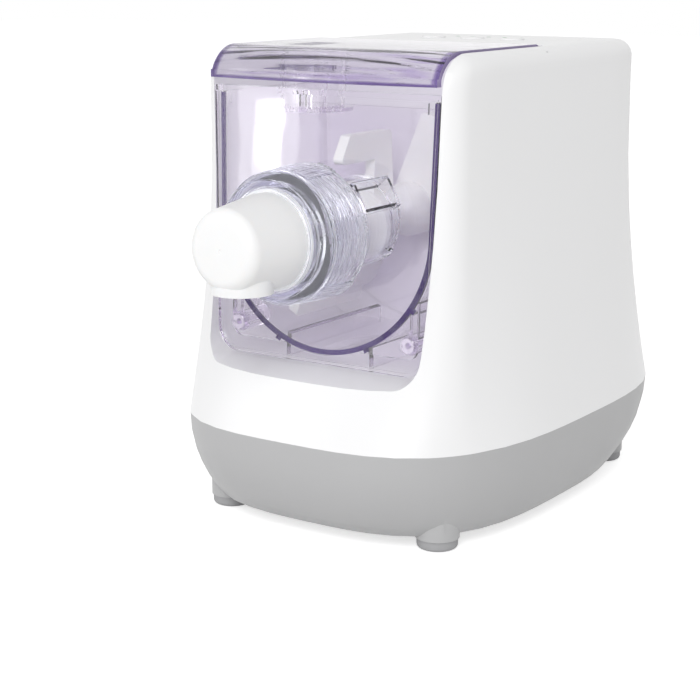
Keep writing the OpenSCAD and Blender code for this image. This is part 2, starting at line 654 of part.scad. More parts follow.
module die_disc()
  color([0.9, 0.9, 0.92]) at()
  translate([0, spout_y, spout_z + 0.5]) difference() {
    cylinder(r = die_r, h = 4);
    for (i = [-1 : 1], j = [-2 + abs(i) * 0.5 : 1 : 2 - abs(i) * 0.5])
      translate([j * 4.6, i * 4.4, -1]) cylinder(d = hole_d, h = 6, $fn = 24);
    for (j = [-1 : 1], i = [-2, 2])
      translate([j * 4.6, i * 4.4, -1]) cylinder(d = hole_d, h = 6, $fn = 24);
  }

// ================= lid =================
module lid()
  color([0.58, 0.46, 0.8, 0.5]) at() difference() {
    union() {
      intersection() {
        translate([0, bow_y, 0]) rotate([0, 0, -90 - 13])
          rotate_extrude(angle = 26, $fn = 120) union() {
            difference() {
              translate([bow_r - lid_r, lid_top - lid_r]) circle(lid_r);
              translate([bow_r - lid_r, lid_top - lid_r]) circle(lid_r - lid_t);
              translate([bow_r - lid_r * 2 - 5, 0]) square([lid_r + 5, top_z + 20]);
              translate([bow_r - lid_r - 1, 0]) square([lid_r + 5, lip_z]);
            }
            translate([bow_r - lid_r - 14, lid_top - lid_t]) square([14.1, lid_t]);
            translate([bow_r - lid_t - 2, lip_z]) square([lid_t + 1.4, 4.5]);
          }
        box([-lid_hw, lid_front - 5, lip_z], [lid_hw, 0, top_z + 10]);
      }
      box([-lid_hw, lid_front + 36, lid_top - lid_t], [lid_hw, pin_y, lid_top]);
      // rounded rear edge
      prism_x(-lid_hw, lid_hw) intersection() {
        translate([pin_y, pin_z]) difference() {
          circle(knuckle_r);
          circle(knuckle_r - lid_t);
        }
        translate([pin_y - e, pin_z]) square([20, 20]);
      }
      // side ribs
      two_x() box([lid_hw - 2.5, lid_front + 36, lid_top - lid_t - 5], [lid_hw, pin_y - 8, lid_top - 1]);
      // hinge knuckles
      two_x() translate([lid_hw - 20, pin_y, pin_z]) rotate([0, 90, 0]) cylinder(r = knuckle_r, h = 20);
      // tab that works the interlock
      prism_x(plug_x - 4, plug_x + 4)
        polygon([[bulk_y - 8, lid_top - 2], [bulk_y - 8, lid_top - 9], [bulk_y - 5, plug_z - 5],
          [bulk_y - 3.3, plug_z - 5], [bulk_y - 3.3, lid_top - 8]]);
    }
    two_x() translate([lid_hw - 22, pin_y, pin_z]) rotate([0, 90, 0])
      cylinder(r = pin_r + 0.05, h = 30);
    // water slots over the cup
    for (i = [-2 : 2])
      box([cup_x - 10, cup_y - 2 + i * 6.5, lid_top - 5], [cup_x + 10, cup_y + 1.2 + i * 6.5, lid_top + 1]);
  }
module lid_water_cup()
  color([0.88, 0.9, 0.96, 0.4]) at()
  translate([cup_x, cup_y, 0]) difference() {
    union() {
      translate([0, 0, cup_z]) cylinder(r = cup_r, h = lid_top - lid_t - cup_z);
      translate([0, 0, cup_z]) cylinder(r = cup_r + 5.4, h = 2.2);
      for (x = [2.5, 9]) translate([x, -cup_r - 1.2, cup_z + 2]) cube([2.4, 4, 11]);
    }
    translate([0, 0, cup_z + 3]) cylinder(r = cup_r - 2, h = 60);
    for (a = [0 : 60 : 300]) rotate([0, 0, a]) translate([10, 0, cup_z - 1]) cylinder(r = 2.2, h = 6);
    translate([0, 0, cup_z - 1]) cylinder(r = 2.2, h = 6);
  }
module hinge_pins()
  color([0.8, 0.81, 0.83]) at()
  two_x() translate([lid_hw - 18, pin_y, pin_z]) rotate([0, 90, 0]) cylinder(r = pin_r, h = 25.5);
module interlock_plunger()
  color([0.2, 0.2, 0.22]) at() union() {
    ycyl(2.5, bulk_y - 3, back_y + 7, plug_x, plug_z);
    ycyl(4, back_y + 0.2, back_y + 2, plug_x, plug_z);
  }
module interlock_switch()
  color([0.15, 0.15, 0.17]) at() difference() {
    union() {
      box([plug_x - 11, back_y + 9, plug_z - 5], [plug_x + 11, back_y + 16, plug_z + 6]);
      two_x_at(plug_x) box([7.5, back_y, plug_z - 5], [11, back_y + 10, plug_z + 6]);
    }
    two_x_at(plug_x) translate([9.2, back_y + 12.5, plug_z - 9]) cylinder(r = 1.2, h = 20);
  }
module two_x_at(x)
  translate([x, 0, 0]) two_x() children();

// ================= gearbox =================
module case2d(g) {
  translate([0, axis_z]) circle(out_ra + g);
  translate([0, mid_z]) circle(whl_ra + g + 4);
  translate([0, mot_z + 2]) circle(18 + g);
  translate([-whl_ra - g - 4, mid_z]) square([2 * (whl_ra + g + 4), axis_z - mid_z]);
}
module ears2d(r) for (p = ears) hull() {
  translate(p) circle(r);
  translate([p[0] * 0.7, p[1]]) circle(r);
}
module gearbox_front_plate()
  color([0.72, 0.73, 0.75]) at() difference() {
    prism_y(back_y, gy0) {
      case2d(5);
      ears2d(7.5);
    }
    ycyl(10, back_y - 1, gy0 + 1);
    ycyl(4, gy0 - 3, gy0 + 1, 0, mid_z);
    for (p = ears) {
      ycyl(2.1, back_y - 1, gy0 + 1, p[0], p[1]);
      ycyl(5.2, back_y - 1, back_y + 3.1, p[0], p[1]);
    }
  }
module gearbox_case()
  color([0.68, 0.69, 0.71]) at() difference() {
    prism_y(gy0, mot_y) {
      case2d(5);
      ears2d(7.5);
    }
    prism_y(gy0 - 1, rear_y) case2d(2);
    ycyl(8.5, rear_y - 1, mot_y + 1);
    ycyl(4, rear_y - 1, rear_y + 2.6, 0, mid_z);
    ycyl(9, rear_y - 1, mot_y + 1, 0, mot_z);
    for (p = ears) ycyl(2.1, gy0 - 1, mot_y + 1, p[0], p[1]);
    for (a = [45 : 90 : 315])
      ycyl(1.6, rear_y - 1, mot_y + 1, 15 * cos(a), mot_z + 15 * sin(a));
  }
module gearbox_screws()
  color([0.78, 0.79, 0.8]) at() {
    for (p = ears) {
      ycyl(1.85, bulk_y + 1.2, mot_y + 0.5, p[0], p[1]);
      ycyl(3.8, mot_y, mot_y + 3, p[0], p[1]);
    }
  }
module shaft_bushes()
  color([0.72, 0.55, 0.3]) at() {
    ytube(10, shaft_r + 0.05, bulk_y + 0.5, gy0);
    ytube(8.5, shaft_r + 0.05, rear_y, mot_y);
  }
module output_gear()
  color([0.9, 0.88, 0.8]) at() difference() {
    union() {
      translate([0, 0, axis_z]) prism_y(out_y, out_y + out_w) rotate(270) gear2d(mod_b, output_n);
      ycyl(12, out_y + out_w - 1, out_y + out_w + 2);
    }
    ycyl(shaft_r, out_y - 1, out_y + out_w + 5);
    for (s = [0, 1]) difference() {
      ytube(out_ra - 8, 16, out_y - 1 + s * (out_w - 2), out_y + 3 + s * (out_w - 2));
    }
    for (a = [0 : 60 : 300])
      ycyl(7, out_y - 1, out_y + out_w + 1, 27 * cos(a), axis_z + 27 * sin(a));
  }
module intermediate_gear()
  color([0.85, 0.83, 0.74]) at() difference() {
    union() {
      translate([0, 0, mid_z]) prism_y(whl_y, whl_y + whl_w) rotate(270) gear2d(mod_a, wheel_n);
      translate([0, 0, mid_z]) prism_y(out_y - 1, whl_y + 1)
        rotate(90 + 180 / pinion_n) gear2d(mod_b, pinion_n);
    }
    ycyl(4.05, out_y - 2, whl_y + whl_w + 1, 0, mid_z);
    for (a = [30 : 60 : 330])
      ycyl(6, whl_y - 1, whl_y + whl_w + 1, 22 * cos(a), mid_z + 22 * sin(a));
  }
module intermediate_axle()
  color([0.75, 0.76, 0.78]) at() ycyl(4, gy0 - 3, rear_y + 2.6, 0, mid_z);

// ================= motor =================
module motor_pinion()
  color([0.6, 0.61, 0.63]) at() difference() {
    translate([0, 0, mot_z]) prism_y(whl_y - 0.5, whl_y + whl_w + 0.5)
      rotate(90 + 180 / pinion_n) gear2d(mod_a, pinion_n);
    ycyl(3, whl_y - 2, whl_y + whl_w + 2, 0, mot_z);
  }
module motor_rotor()
  color([0.6, 0.6, 0.62]) at() union() {
    ycyl(3, whl_y - 0.5, mot_y - 1, 0, mot_z);
    ycyl(4, mot_y - 2, end_y + end_l + 12, 0, mot_z);
    ycyl(motor_r * 0.56, stat_y + 1, end_y - 1, 0, mot_z);
    ycyl(motor_r * 0.5, stat_y - 2.5, end_y + 2.5, 0, mot_z);
  }
module motor_stator()
  color([0.35, 0.36, 0.38]) at() difference() {
    union() {
      ycyl(motor_r, stat_y, end_y, 0, mot_z);
    }
    ycyl(motor_r * 0.56 + 0.4, stat_y - 1, end_y + 1, 0, mot_z);
    for (a = [45 : 90 : 315])
      ycyl(2.1, stat_y - 1, end_y + 1, motor_r * 0.88 * cos(a), mot_z + motor_r * 0.88 * sin(a));
    for (i = [1 : 7])
      ytube(motor_r + 2, motor_r - 0.6, stat_y + i * 5 - 0.3, stat_y + i * 5 + 0.3, 0, mot_z);
  }
module motor_windings()
  color([0.72, 0.42, 0.2]) at() {
    for (y = [stat_y - 7, end_y]) difference() {
      ytube(motor_r * 0.755, motor_r * 0.6, y, y + 7, 0, mot_z);
      for (a = [0 : 30 : 150]) translate([0, y + (y < stat_y ? -0.1 : 6.1), mot_z]) rotate([0, a, 0])
        translate([-50, 0, -1]) cube([100, 1, 2]);
    }
  }
module bell(y0, y1, f) {
  // closed face at f
  difference() {
    ycyl(motor_r, y0, y1, 0, mot_z);
    ycyl(motor_r - 3, f > 0 ? y0 - 1 : y0 + 3, f > 0 ? y1 - 3 : y1 + 1, 0, mot_z);
  }
  ycyl(12, y0 + (f > 0 ? 5 : 0), y1 - (f > 0 ? 0 : 5), 0, mot_z);
  for (a = [45 : 90 : 315])
    ycyl(4.8, y0, y1, motor_r * 0.88 * cos(a), mot_z + motor_r * 0.88 * sin(a));
}
module motor_front_bell()
  color([0.74, 0.75, 0.77]) at() difference() {
    bell(mot_y, stat_y, -1);
    ycyl(11, mot_y + 2, stat_y, 0, mot_z);
    ycyl(8, mot_y - 1, mot_y + 3, 0, mot_z);
    for (a = [45 : 90 : 315])
      ycyl(2.1, mot_y - 1, stat_y + 1, motor_r * 0.88 * cos(a), mot_z + motor_r * 0.88 * sin(a));
    for (a = [45 : 90 : 315])
      ycyl(1.6, mot_y - 1, mot_y + 5, 15 * cos(a), mot_z + 15 * sin(a));
    for (a = [0 : 30 : 330])
      ycyl(4, mot_y - 1, mot_y + 4, 30 * cos(a), mot_z + 30 * sin(a));
  }
module motor_rear_bell()
  color([0.74, 0.75, 0.77]) at() difference() {
    bell(end_y, end_y + end_l, 1);
    ycyl(11, end_y, end_y + end_l - 2, 0, mot_z);
    ycyl(8, end_y, end_y + end_l + 1, 0, mot_z);
    for (a = [45 : 90 : 315])
      ycyl(2.1, end_y - 1, end_y + end_l + 1, motor_r * 0.88 * cos(a), mot_z + motor_r * 0.88 * sin(a));
    for (a = [0 : 30 : 330])
      ycyl(4, end_y + 5, end_y + end_l + 1, 30 * cos(a), mot_z + 30 * sin(a));
  }
module motor_bearings()
  color([0.8, 0.8, 0.82]) at()
  for (y = [mot_y + 2.1, end_y + end_l - 9.1]) difference() {
    ytube(11, 4, y, y + 7, 0, mot_z);
    for (s = [-0.2, 6]) ytube(9.2, 6, y + s, y + s + 1.2, 0, mot_z);
  }
module motor_bolts()
  color([0.78, 0.79, 0.8]) at()
  for (a = [45 : 90 : 315]) {
    ycyl(2, mot_y + 2, end_y + end_l + 0.5, motor_r * 0.88 * cos(a), mot_z + motor_r * 0.88 * sin(a));
    ycyl(4, end_y + end_l, end_y + end_l + 2.6, motor_r * 0.88 * cos(a), mot_z + motor_r * 0.88 * sin(a));
  }
module motor_screws()
  color([0.78, 0.79, 0.8]) at()
  for (a = [45 : 90 : 315]) {
    ycyl(1.5, rear_y - 0.5, mot_y + 4.5, 15 * cos(a), mot_z + 15 * sin(a));
    ycyl(2.8, rear_y - 2, rear_y, 15 * cos(a), mot_z + 15 * sin(a));
  }
module cooling_fan()
  color([0.2, 0.22, 0.25]) at() difference() {
    union() {
      ycyl(9, end_y + end_l + 3.4, end_y + end_l + 11, 0, mot_z);
      ycyl(motor_r * 0.75, end_y + end_l + 3.4, end_y + end_l + 5, 0, mot_z);
      for (a = [0 : 40 : 320]) translate([0, 0, mot_z]) rotate([0, a, 0])
        box([7, end_y + end_l + 4, -0.8], [motor_r * 0.75, end_y + end_l + 11, 0.8]);
    }
    ycyl(4, end_y + end_l, end_y + end_l + 20, 0, mot_z);
  }

// ================= electrics =================
cap_x = 64;
cap_yy = 48;
module run_capacitor()
  color([0.82, 0.83, 0.85]) at()
  translate([cap_x, cap_yy, base_bot + 5]) union() {
    cylinder(r = 15, h = 48);
    translate([0, 0, 48]) cylinder(r = 13.5, h = 2);
    for (x = [-5, 5]) translate([x - 0.4, -3, 50]) cube([0.8, 6, 7]);
  }
module capacitor_holder()
  color([0.25, 0.26, 0.28]) at()
  translate([cap_x, cap_yy, base_bot + 3]) difference() {
    union() {
      cylinder(r = 17.5, h = 16);
      translate([-6, -25, 0]) cube([12, 50, 2]);
    }
    translate([0, 0, 2]) cylinder(r = 15.05, h = 20);
    for (y = [-21.5, 21.5]) translate([0, y, -1]) cylinder(r = 1.6, h = 5);
  }
module power_board()
  color([0.12, 0.4, 0.22]) at() difference() {
    box([-64, -114, board_low], [64, -28, board_low + 1.6]);
    for (x = [-58, 58], y = [-108, -34]) translate([x, y, board_low - 1]) cylinder(r = 1.5, h = 4);
  }
module power_parts()
  color([0.2, 0.2, 0.24]) at() translate([0, 0, board_low + 1.6]) {
    box([-48, -100, 0], [-20, -72, 24]);
    box([-8, -100, 0], [11, -84, 15]);
    for (x = [22 : 8 : 46]) box([x, -104, 0], [x + 7.4, -92, 12]);
    translate([30, -62, 0]) cylinder(r = 8, h = 20);
    translate([2, -54, 0]) cylinder(r = 5, h = 12);
    box([-46, -56, 0], [-24, -50, 28]);
    box([-14, -68, 0], [-9, -44, 10]);
  }
module board_screws()
  color([0.78, 0.79, 0.8]) at() {
    for (x = [-58, 58], y = [-108, -34]) {
      translate([x, y, board_low - 6]) cylinder(r = 1.25, h = 8);
      translate([x, y, board_low + 1.6]) cylinder(r = 2.8, h = 2);
    }
    for (x = [-46, 46], y = [ctl_y0 + 4, ctl_y1 - 4]) {
      translate([x, y, board_z - 2]) cylinder(r = 2.4, h = 2);
      translate([x, y, board_z - 1]) cylinder(r = 1.15, h = 8);
    }
  }
btn_x = [-30, 0, 30];
btn_y = ctl_y - 6;
module control_panel()
  color([0.93, 0.93, 0.94]) at() difference() {
    box([-ctl_hw, ctl_y0, ctl_bot], [ctl_hw, ctl_y1, top_z]);
    for (x = btn_x) translate([x, btn_y, 0]) cylinder(r = button_r + 0.15, h = top_z + 10);
    for (x = [-24 : 12 : 24]) translate([x, ctl_y + 16, 0]) cylinder(r = 1.6, h = top_z + 10);
  }
module button(x)
  translate([x, btn_y, 0]) union() {
    translate([0, 0, ctl_bot - 2.3]) cylinder(r = button_r, h = ctl_t + 3.1);
    translate([0, 0, ctl_bot - 2.3]) cylinder(r = button_r + 1.4, h = 2);
    translate([0, 0, board_z + 5.4]) cylinder(r = 2.2, h = ctl_bot - 2 - board_z - 5.4);
  }
module power_button() color([0.9, 0.9, 0.92]) at() button(btn_x[0]);
module mode_button() color([0.9, 0.9, 0.92]) at() button(btn_x[1]);
module start_button() color([0.9, 0.9, 0.92]) at() button(btn_x[2]);
module indicator_lenses()
  color([0.5, 0.85, 0.55]) at()
  for (x = [-24 : 12 : 24]) translate([x, ctl_y + 16, board_z + 4]) cylinder(r = 1.55, h = top_z - board_z - 3.9);
module control_board()
  color([0.12, 0.4, 0.22]) at() difference() {
    box([-51, ctl_y0, board_z], [51, ctl_y1, board_z + 1.6]);
    for (x = [-46, 46], y = [ctl_y0 + 4, ctl_y1 - 4])
      translate([x, y, board_z - 1]) cylinder(r = 1.4, h = 4);
  }
module control_parts()
  color([0.15, 0.15, 0.17]) at() translate([0, 0, board_z + 1.6]) {
    for (x = btn_x) {
      box([x - 3, btn_y - 3, 0], [x + 3, btn_y + 3, 1.8]);
      translate([x, btn_y, 1.7]) cylinder(r = 1.7, h = 0.7);
    }
    for (x = [-24 : 12 : 24]) box([x - 1.5, ctl_y + 14.5, 0], [x + 1.5, ctl_y + 17.5, 2.3]);
  }
inlet_y = top_rear + 19;
inlet_z = seam_z + 21.5;
module power_inlet()
  color([0.1, 0.1, 0.11]) at() difference() {
    union() {
      box([-23, inlet_y, inlet_z - 12.5], [23, inlet_y + 3, inlet_z + 12.5]);
      box([-13.8, inlet_y - 16, inlet_z - 10.3], [13.8, inlet_y + 1, inlet_z + 10.3]);
    }
    prism_y(inlet_y - 13, inlet_y + 5) polygon([[-12, inlet_z - 8.5], [12, inlet_z - 8.5],
      [12, inlet_z + 4], [8, inlet_z + 8.5], [-8, inlet_z + 8.5], [-12, inlet_z + 4]]);
    two_x() ycyl(1.7, inlet_y - 1, inlet_y + 4, 20, inlet_z);
    for (p = [[-7, -1.5], [7, -1.5], [0, 2.5]])
      box([p[0] - 1, inlet_y - 17, inlet_z + p[1] - 2], [p[0] + 1, inlet_y - 12, inlet_z + p[1] + 2]);
  }
module inlet_pins()
  color([0.78, 0.72, 0.5]) at()
  for (p = [[-7, -1.5], [7, -1.5], [0, 2.5]])
    box([p[0] - 1, inlet_y - 22, inlet_z + p[1] - 2], [p[0] + 1, inlet_y - 1, inlet_z + p[1] + 2]);
module inlet_screws()
  color([0.78, 0.79, 0.8]) at() two_x() {
    ycyl(1.55, inlet_y - 4, inlet_y + 3.2, 20, inlet_z);
    ycyl(2.8, inlet_y + 3, inlet_y + 4.8, 20, inlet_z);
  }

upper_housing();
base_tray();
rubber_feet();
base_screws();
mixing_bowl();
bowl_gasket();
shaft_seal();
front_panel();
panel_screws();
extrusion_barrel();
barrel_seal();
auger();
mixing_paddle();
drive_shaft();
locking_nut();
die_cap();
die_disc();
lid();
lid_water_cup();
hinge_pins();
interlock_plunger();
interlock_switch();
gearbox_front_plate();
gearbox_case();
gearbox_screws();
shaft_bushes();
output_gear();
intermediate_gear();
intermediate_axle();
motor_pinion();
motor_rotor();
motor_stator();
motor_windings();
motor_front_bell();
motor_rear_bell();
motor_bearings();
motor_bolts();
motor_screws();
cooling_fan();
run_capacitor();
capacitor_holder();
power_board();
power_parts();
board_screws();
control_panel();
power_button();
mode_button();
start_button();
indicator_lenses();
control_board();
control_parts();
power_inlet();
inlet_pins();
inlet_screws();
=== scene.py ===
import json
import math

import bpy
from mathutils import Matrix, Vector


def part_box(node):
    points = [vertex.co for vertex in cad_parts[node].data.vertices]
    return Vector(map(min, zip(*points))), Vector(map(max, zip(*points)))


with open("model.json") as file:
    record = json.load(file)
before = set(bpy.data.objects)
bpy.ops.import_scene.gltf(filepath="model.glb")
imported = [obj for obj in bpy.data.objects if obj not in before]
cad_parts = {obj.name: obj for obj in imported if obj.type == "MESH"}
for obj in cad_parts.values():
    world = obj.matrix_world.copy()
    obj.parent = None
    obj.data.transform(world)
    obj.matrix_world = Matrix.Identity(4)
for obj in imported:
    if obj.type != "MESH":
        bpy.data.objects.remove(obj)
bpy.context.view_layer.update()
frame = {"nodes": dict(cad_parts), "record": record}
nodes = frame["nodes"]
scene = bpy.context.scene

# ---------------------------------------------------------------- camera
# fitted to the outlines of housing, base, lid, bowl and nozzle in the photograph
AZIMUTH = math.radians(34.0)
CAMERA_AT = Vector((0.576018, -0.917617, 0.345707))
CAMERA_BACK = Vector((0.54473, -0.80755, 0.22612))
SENSOR_MM = 36
LENS_MM = 87.79

back = CAMERA_BACK.normalized()
right = Vector((math.cos(AZIMUTH), math.sin(AZIMUTH), 0))
up = back.cross(right)
camera = bpy.data.objects.new("camera", bpy.data.cameras.new("camera"))
scene.collection.objects.link(camera)
scene.camera = camera
pose = Matrix((right, up, back)).transposed().to_4x4()
pose.translation = CAMERA_AT
camera.matrix_world = pose
camera.data.sensor_width = SENSOR_MM
camera.data.lens = LENS_MM
camera.data.clip_start, camera.data.clip_end = 0.01, 50


# ---------------------------------------------------------------- node helpers
def new_tree(owner, output):
    """An empty node tree of a material or world, and its output node."""
    owner.use_nodes = True
    nt = owner.node_tree
    nt.nodes.clear()
    return nt, nt.nodes.new(output)


def new_material(name):
    mat = bpy.data.materials.new(name)
    nt, out = new_tree(mat, "ShaderNodeOutputMaterial")
    return mat, nt, out.inputs


def node(nt, kind, values=None, **settings):
    """A new node. values go to its inputs, by name or number, and settings to the node itself."""
    n = nt.nodes.new(kind)
    for key, value in settings.items():
        setattr(n, key, value)
    for key, value in (values or {}).items():
        n.inputs[key].default_value = value
    return n


def place(nt):
    """The point in metres, in the frame of the CAD, because each CAD object lies at the origin."""
    return nt.nodes.new("ShaderNodeTexCoord").outputs["Object"]


def coordinate(nt, axis):
    xyz = nt.nodes.new("ShaderNodeSeparateXYZ")
    nt.links.new(place(nt), xyz.inputs[0])
    return xyz.outputs[axis]


def calc(nt, operation, *sockets):
    n = node(nt, "ShaderNodeMath", operation=operation)
    for socket, entry in zip(sockets, n.inputs):
        nt.links.new(socket, entry)
    return n.outputs[0]


def noise(nt, scale, detail, stretch=None):
    """Noise from 0 to 1. stretch below 1 draws it out along that axis."""
    n = node(nt, "ShaderNodeTexNoise", {"Scale": scale, "Detail": detail, "Roughness": 0.5})
    where = place(nt)
    if stretch:
        mapping = node(nt, "ShaderNodeMapping", {"Scale": stretch})
        nt.links.new(where, mapping.inputs["Vector"])
        where = mapping.outputs["Vector"]
    nt.links.new(where, n.inputs["Vector"])
    return n.outputs["Fac"]


def remap(nt, value, start, end, low, high):
    """Turn start..end into low..high, and stay at the nearer of these outside."""
    n = node(nt, "ShaderNodeMapRange",
             {"From Min": start, "From Max": end, "To Min": low, "To Max": high})
    nt.links.new(value, n.inputs["Value"])
    return n.outputs["Result"]


def ramp(nt, value, zero_at, one_at):
    return remap(nt, value, zero_at, one_at, 0.0, 1.0)


# noise rarely leaves this span
NOISE_SPAN = (0.1, 0.9)


def uneven(nt, scale, low, high, detail=3.0, stretch=None):
    """A value that wanders between low and high over the surface."""
    return remap(nt, noise(nt, scale, detail, stretch), *NOISE_SPAN, low, high)


def bump(nt, height, distance, strength, after=None):
    """A surface normal from heights up to distance, on top of the normal after."""
    n = node(nt, "ShaderNodeBump", {"Distance": distance, "Strength": strength})
    nt.links.new(height, n.inputs["Height"])
    if after is not None:
        nt.links.new(after, n.inputs["Normal"])
    return n.outputs["Normal"]


def blend(nt, factor, first, second):
    """The first colour at 0, the second at 1. Each is a colour or a socket."""
    n = node(nt, "ShaderNodeMix", data_type="RGBA")
    nt.links.new(factor, n.inputs[0])
    for number, colour in ((6, first), (7, second)):
        if isinstance(colour, tuple):
            n.inputs[number].default_value = (*colour, 1)
        else:
            nt.links.new(colour, n.inputs[number])
    return n.outputs[2]


def scaled(colour, factor):
    return tuple(min(1.0, part * factor) for part in colour)


# ---------------------------------------------------------------- kinds of material
# how fine the noise is: the more, the finer
TONE_FINE, GLOSS_FINE = 14.0, 60.0
METAL_TONE_FINE, METAL_FINE = 40.0, 400.0
CLEAR_TONE_FINE, CLEAR_GLOSS_FINE = 9.0, 80.0
PAINTED_STREAK_FINE, FLOW_WAVE_FINE = 190.0, 170.0
KNURL_FINE = 520.0

PLASTIC_IOR = 1.5
SCATTER_RADIUS = (1.0, 0.9, 0.8)
SCATTER_DEPTH = 0.004


def plastic(name, colour, rough, grain, grain_scale, vary, scatter=0.0, specular=0.5):
    """Moulded plastic or rubber: fine grain, slightly uneven gloss and tone, and for milky kinds
    some light that scatters inside."""
    mat, nt, out = new_material(name)
    p = node(nt, "ShaderNodeBsdfPrincipled", {"IOR": PLASTIC_IOR, "Specular IOR Level": specular})
    if scatter:
        p.inputs["Subsurface Weight"].default_value = scatter
        p.inputs["Subsurface Radius"].default_value = SCATTER_RADIUS
        p.inputs["Subsurface Scale"].default_value = SCATTER_DEPTH
    tone = blend(nt, noise(nt, TONE_FINE, 3.0),
                 scaled(colour, 1 - vary), scaled(colour, 1 + vary / 2))
    nt.links.new(tone, p.inputs["Base Color"])
    nt.links.new(uneven(nt, GLOSS_FINE, rough - 0.03, rough + 0.04), p.inputs["Roughness"])
    nt.links.new(bump(nt, noise(nt, grain_scale, 2.0), grain, 0.6), p.inputs["Normal"])
    nt.links.new(p.outputs[0], out["Surface"])
    return mat


def metal(name, colour, rough, stretch=(1, 1, 1), scale=METAL_FINE, grain=0.00002):
    """Bare metal. stretch above 1 packs its grain along that axis, as in laminations or wire."""
    mat, nt, out = new_material(name)
    p = node(nt, "ShaderNodeBsdfPrincipled", {"Metallic": 1.0})
    tone = blend(nt, noise(nt, METAL_TONE_FINE, 4.0), scaled(colour, 0.9), scaled(colour, 1.05))
    nt.links.new(tone, p.inputs["Base Color"])
    gloss = uneven(nt, scale, rough - 0.07, rough + 0.09, stretch=stretch)
    nt.links.new(gloss, p.inputs["Roughness"])
    nt.links.new(bump(nt, noise(nt, scale, 2.0, stretch), grain, 0.5), p.inputs["Normal"])
    nt.links.new(p.outputs[0], out["Surface"])
    return mat


# the widths in metres over which one finish passes into the next
SIDE_FADE = 0.0015
LIP_FADE = 0.0012
KNURL_FADE = 0.0004
# how far below the lid's top its flow waves and painted dark streaks end, and where they are full
FLOW_AND_STREAK_END, FLOW_AND_STREAK_FULL = 0.0015, 0.0035
# noise below the first value is a painted dark streak, which stands in for streaky reflections,
# above the second none
PAINTED_STREAK_SPAN = (0.33, 0.42)
KNURL_HEIGHT = 0.0006
MM_IN_METRE = 1000


def rim_mask(nt, side_x, lip_z):
    """1 on the thicker edges: beyond side_x on both sides, and on the lip below lip_z."""
    aside = calc(nt, "ABSOLUTE", coordinate(nt, "X"))
    return calc(nt, "MAXIMUM", ramp(nt, aside, side_x, side_x + SIDE_FADE),
                ramp(nt, coordinate(nt, "Z"), lip_z, lip_z - LIP_FADE))


def painted_streak_tone(nt, top, dark, light):
    """Painted dark streaks from side to side, which stand in for streaky reflections on the curved
    front, and none on the flat top.
    """
    painted_streaks = ramp(nt, noise(nt, PAINTED_STREAK_FINE, 1.5, (0.03, 1, 1)), *PAINTED_STREAK_SPAN)
    flat = ramp(nt, coordinate(nt, "Z"), top - FLOW_AND_STREAK_FULL, top - FLOW_AND_STREAK_END)
    return blend(nt, calc(nt, "MAXIMUM", painted_streaks, flat), dark, light)


def flow_height(nt, top):
    """Long waves from side to side, and none on the flat top."""
    curved = ramp(nt, coordinate(nt, "Z"), top - FLOW_AND_STREAK_END, top - FLOW_AND_STREAK_FULL)
    return calc(nt, "MULTIPLY", curved, noise(nt, FLOW_WAVE_FINE, 1.0, (0.035, 1, 1)))


def knurl_height(nt, axis_z, radius):
    """Fine roughness outside a radius from an axis that runs along Y at the height axis_z."""
    around = node(nt, "ShaderNodeVectorMath", {1: (1, 0, 1), 2: (0, 0, -axis_z)},
                  operation="MULTIPLY_ADD")
    nt.links.new(place(nt), around.inputs[0])
    distance = node(nt, "ShaderNodeVectorMath", operation="LENGTH")
    nt.links.new(around.outputs[0], distance.inputs[0])
    outside = ramp(nt, distance.outputs["Value"], radius, radius + KNURL_FADE)
    return calc(nt, "MULTIPLY", outside, noise(nt, KNURL_FINE, 1.0))


